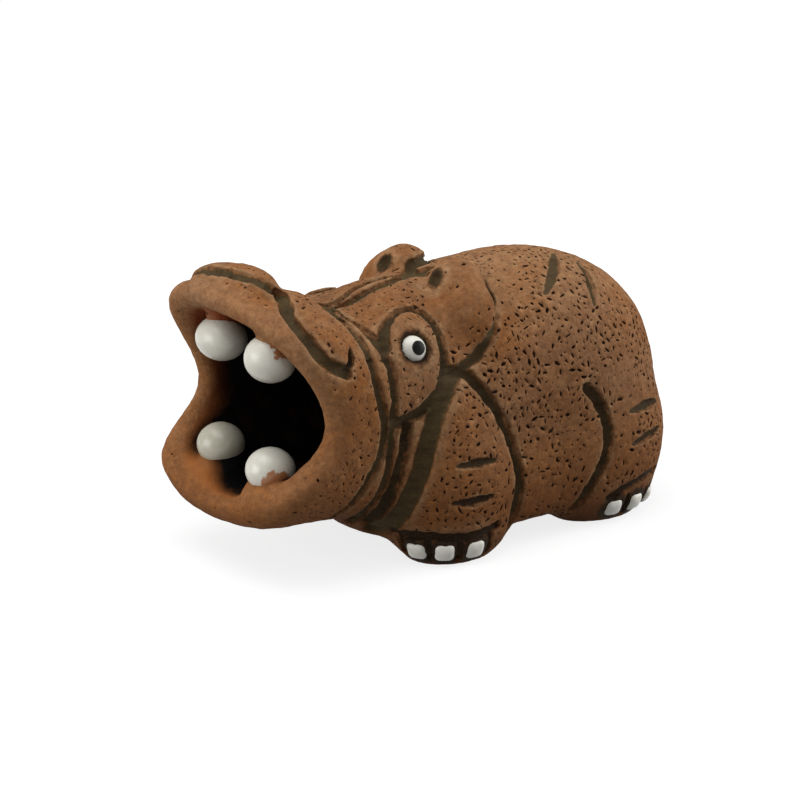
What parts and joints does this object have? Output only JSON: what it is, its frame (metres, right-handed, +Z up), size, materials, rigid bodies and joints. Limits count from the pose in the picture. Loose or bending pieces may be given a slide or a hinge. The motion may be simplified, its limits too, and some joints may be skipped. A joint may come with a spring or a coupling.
{
  "type": "hippopotamus figurine",
  "caption": "Hollow fired-clay hippopotamus standing with its mouth wide open, with round enamelled teeth, domed eyes and carved skin folds.",
  "frame": {"origin": "centre of the bounding box at the plane of the four soles", "axes": "+Z up, -Y forward through the open mouth, +X to the animal's left"},
  "size_m": [0.0702, 0.1315, 0.0715],
  "materials": {
    "fired_clay": "bare fired clay, matt, pitted",
    "white_enamel": "satin white enamel",
    "black_enamel": "satin black enamel"
  },
  "bodies": {
    "root": {"clay_body": "fired_clay"}
  },
  "joints": []
}
